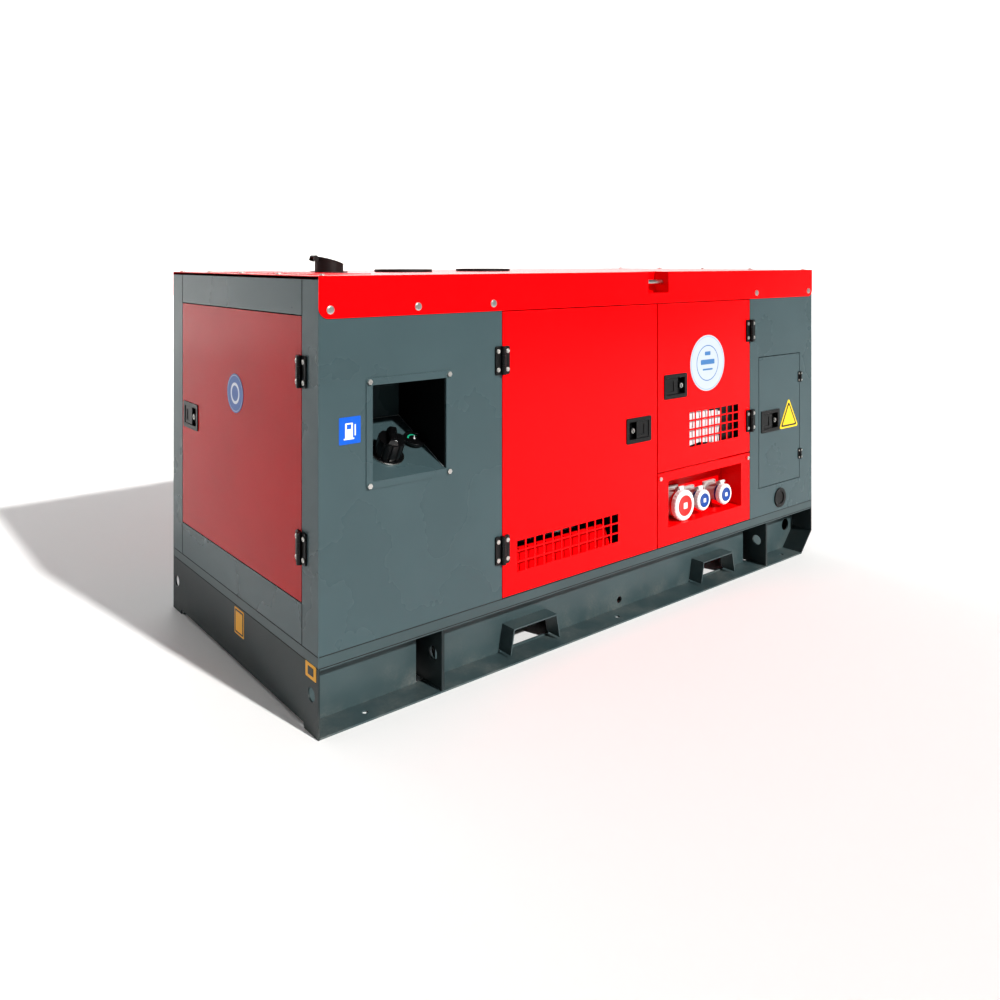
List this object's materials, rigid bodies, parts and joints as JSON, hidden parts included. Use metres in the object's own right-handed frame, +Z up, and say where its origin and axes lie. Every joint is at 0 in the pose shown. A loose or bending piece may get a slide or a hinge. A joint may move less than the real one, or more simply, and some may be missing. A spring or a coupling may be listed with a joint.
{
  "type": "enclosed diesel generator set",
  "caption": "Soundproof diesel generating set in a sheet-metal canopy on a forkable skid, with hinged doors, capped fuel filler and covered power sockets.",
  "frame": {"origin": "centre of the footprint on the ground", "axes": "+X from the radiator end to the air-intake end, -Y out of the control side, +Z up"},
  "size_m": [2.41, 1.102, 1.2574],
  "materials": {
    "canopy_red": "gloss red powder coat",
    "canopy_grey": "blue-grey powder coat",
    "skid_grey": "grey structural paint",
    "zinc_steel": "zinc plated",
    "hardware_black": "black powder coat",
    "black_plastic": "moulded",
    "socket_red": "moulded",
    "socket_blue": "moulded",
    "socket_grey": "moulded",
    "socket_white": "moulded",
    "white_marks": "printed film",
    "blue_marks": "printed film",
    "yellow_marks": "printed film",
    "dial_marks": "printed",
    "brass": "turned brass",
    "glass_dark": "display window",
    "stop_red": "moulded",
    "rubber_black": "plain",
    "tank_plastic": "moulded",
    "engine_paint": "dark engine paint",
    "generator_paint": "grey paint",
    "radiator_black": "black",
    "exhaust_black": "heat-proof black",
    "fan_plastic": "moulded",
    "panel_dark": "textured dark grey"
  },
  "bodies": {
    "enclosure": {"hinge_frame_leaves": "hardware_black", "front_skid_rail": "skid_grey", "rear_skid_rail": "skid_grey", "skid_end_plates": "skid_grey", "skid_cross_members": "skid_grey", "fork_pocket_guides": "skid_grey", "lifting_plates": "skid_grey", "fuel_tank": "tank_plastic", "sill_frame": "skid_grey", "engine_bed_rails": "skid_grey", "canopy_frame": "canopy_grey", "door_posts": "canopy_grey", "front_left_panel": "canopy_grey", "front_right_panel": "canopy_grey", "rear_panels": "canopy_grey", "rear_service_panel": "canopy_red", "right_end_panel": "canopy_red", "roof": "canopy_red", "lifting_eyes": "zinc_steel", "roof_grille": "canopy_red", "roof_rings": "rubber_black", "exhaust_stub": "exhaust_black", "filler_recess": "canopy_grey", "filler_neck": "black_plastic", "fuel_gauge": "black_plastic", "socket_panel": "canopy_red", "socket_bodies": "socket_grey", "control_panel": "panel_dark", "terminal_cabinet": "canopy_grey", "cable_grommet": "rubber_black", "engine_block": "engine_paint", "generator": "generator_paint", "engine_mounts": "rubber_black", "radiator": "radiator_black", "silencer": "exhaust_black", "battery": "black_plastic", "canopy_screws": "zinc_steel"},
    "main_door": {"main_door": "canopy_red", "main_door_fittings": "hardware_black"},
    "control_door": {"control_door": "canopy_red", "control_door_fittings": "hardware_black"},
    "terminal_door": {"terminal_door": "canopy_grey", "terminal_door_fittings": "hardware_black"},
    "radiator_door": {"radiator_door": "canopy_red", "radiator_door_fittings": "hardware_black"},
    "rear_door": {"rear_door": "canopy_red", "rear_door_fittings": "hardware_black"},
    "main_door_latch": {"main_door_paddle": "hardware_black"},
    "control_door_latch": {"control_door_paddle": "hardware_black"},
    "terminal_door_latch": {"terminal_door_paddle": "hardware_black"},
    "radiator_door_latch": {"radiator_door_paddle": "hardware_black"},
    "rear_door_latch": {"rear_door_paddle": "hardware_black"},
    "socket_lid_red": {"socket_lid_red": "socket_white"},
    "socket_lid_blue_left": {"socket_lid_blue_left": "socket_white"},
    "socket_lid_blue_right": {"socket_lid_blue_right": "socket_white"},
    "fuel_cap": {"fuel_cap": "black_plastic"},
    "rain_flap": {"rain_flap": "exhaust_black"},
    "crank_train": {"crankshaft": "zinc_steel", "cooling_fan": "fan_plastic"},
    "emergency_stop": {"emergency_stop": "stop_red"}
  },
  "joints": [
    {"name": "main_door_hinge", "type": "hinge", "parent": "enclosure", "child": "main_door", "pos_m": [-0.564, -0.544, 0.65], "axis": [0, 0, -1], "range_deg": [0, 120]},
    {"name": "control_door_hinge", "type": "hinge", "parent": "enclosure", "child": "control_door", "pos_m": [0.734, -0.544, 0.785], "axis": [0, 0, 1], "range_deg": [0, 120]},
    {"name": "terminal_door_hinge", "type": "hinge", "parent": "enclosure", "child": "terminal_door", "pos_m": [1.096, -0.5395, 0.589], "axis": [0, 0, 1], "range_deg": [0, 120]},
    {"name": "radiator_door_hinge", "type": "hinge", "parent": "enclosure", "child": "radiator_door", "pos_m": [-1.199, -0.445, 0.7095], "axis": [0, 0, 1], "range_deg": [0, 120]},
    {"name": "rear_door_hinge", "type": "hinge", "parent": "enclosure", "child": "rear_door", "pos_m": [-0.564, 0.544, 0.651], "axis": [0, 0, 1], "range_deg": [0, 120]},
    {"name": "main_door_latch_pull", "type": "hinge", "parent": "main_door", "child": "main_door_latch", "pos_m": [0.05712, -0.534, 0.651], "axis": [0, 0, -1], "range_deg": [0, 35], "stiffness_Nm_per_rad": 0.3, "springref_deg": -11.46},
    {"name": "control_door_latch_pull", "type": "hinge", "parent": "control_door", "child": "control_door_latch", "pos_m": [0.27488, -0.534, 0.785], "axis": [0, 0, 1], "range_deg": [0, 35], "stiffness_Nm_per_rad": 0.3, "springref_deg": -11.46},
    {"name": "terminal_door_latch_pull", "type": "hinge", "parent": "terminal_door", "child": "terminal_door_latch", "pos_m": [0.88388, -0.534, 0.589], "axis": [0, 0, 1], "range_deg": [0, 35], "stiffness_Nm_per_rad": 0.3, "springref_deg": -11.46},
    {"name": "radiator_door_latch_pull", "type": "hinge", "parent": "radiator_door", "child": "radiator_door_latch", "pos_m": [-1.189, 0.35512, 0.7095], "axis": [0, 0, 1], "range_deg": [0, 35], "stiffness_Nm_per_rad": 0.3, "springref_deg": -11.46},
    {"name": "rear_door_latch_pull", "type": "hinge", "parent": "rear_door", "child": "rear_door_latch", "pos_m": [0.05712, 0.534, 0.651], "axis": [0, 0, 1], "range_deg": [0, 35], "stiffness_Nm_per_rad": 0.3, "springref_deg": -11.46},
    {"name": "socket_lid_red_hinge", "type": "hinge", "parent": "enclosure", "child": "socket_lid_red", "pos_m": [0.34, -0.503, 0.399], "axis": [-1, 0, 0], "range_deg": [0, 100], "stiffness_Nm_per_rad": 0.08, "springref_deg": -22.92},
    {"name": "socket_lid_blue_left_hinge", "type": "hinge", "parent": "enclosure", "child": "socket_lid_blue_left", "pos_m": [0.456, -0.503, 0.3815], "axis": [-1, 0, 0], "range_deg": [0, 100], "stiffness_Nm_per_rad": 0.05, "springref_deg": -22.92},
    {"name": "socket_lid_blue_right_hinge", "type": "hinge", "parent": "enclosure", "child": "socket_lid_blue_right", "pos_m": [0.592, -0.503, 0.3815], "axis": [-1, 0, 0], "range_deg": [0, 100], "stiffness_Nm_per_rad": 0.05, "springref_deg": -22.92},
    {"name": "fuel_cap_turn", "type": "hinge", "parent": "enclosure", "child": "fuel_cap", "pos_m": [-0.922, -0.449, 0.686], "axis": [0, -0.4472, 0.8944], "range_deg": [0, 90]},
    {"name": "rain_flap_hinge", "type": "hinge", "parent": "enclosure", "child": "rain_flap", "pos_m": [-0.91485, 0, 1.25136], "axis": [0, -1, 0], "range_deg": [0, 65]},
    {"name": "crank_spin", "type": "hinge", "parent": "enclosure", "child": "crank_train", "pos_m": [-0.89, 0, 0.52], "axis": [1, 0, 0], "continuous": true},
    {"name": "emergency_stop_press", "type": "slide", "parent": "enclosure", "child": "emergency_stop", "axis": [0, 1, 0], "range_m": [0, 0.006], "stiffness_N_per_m": 600}
  ]
}
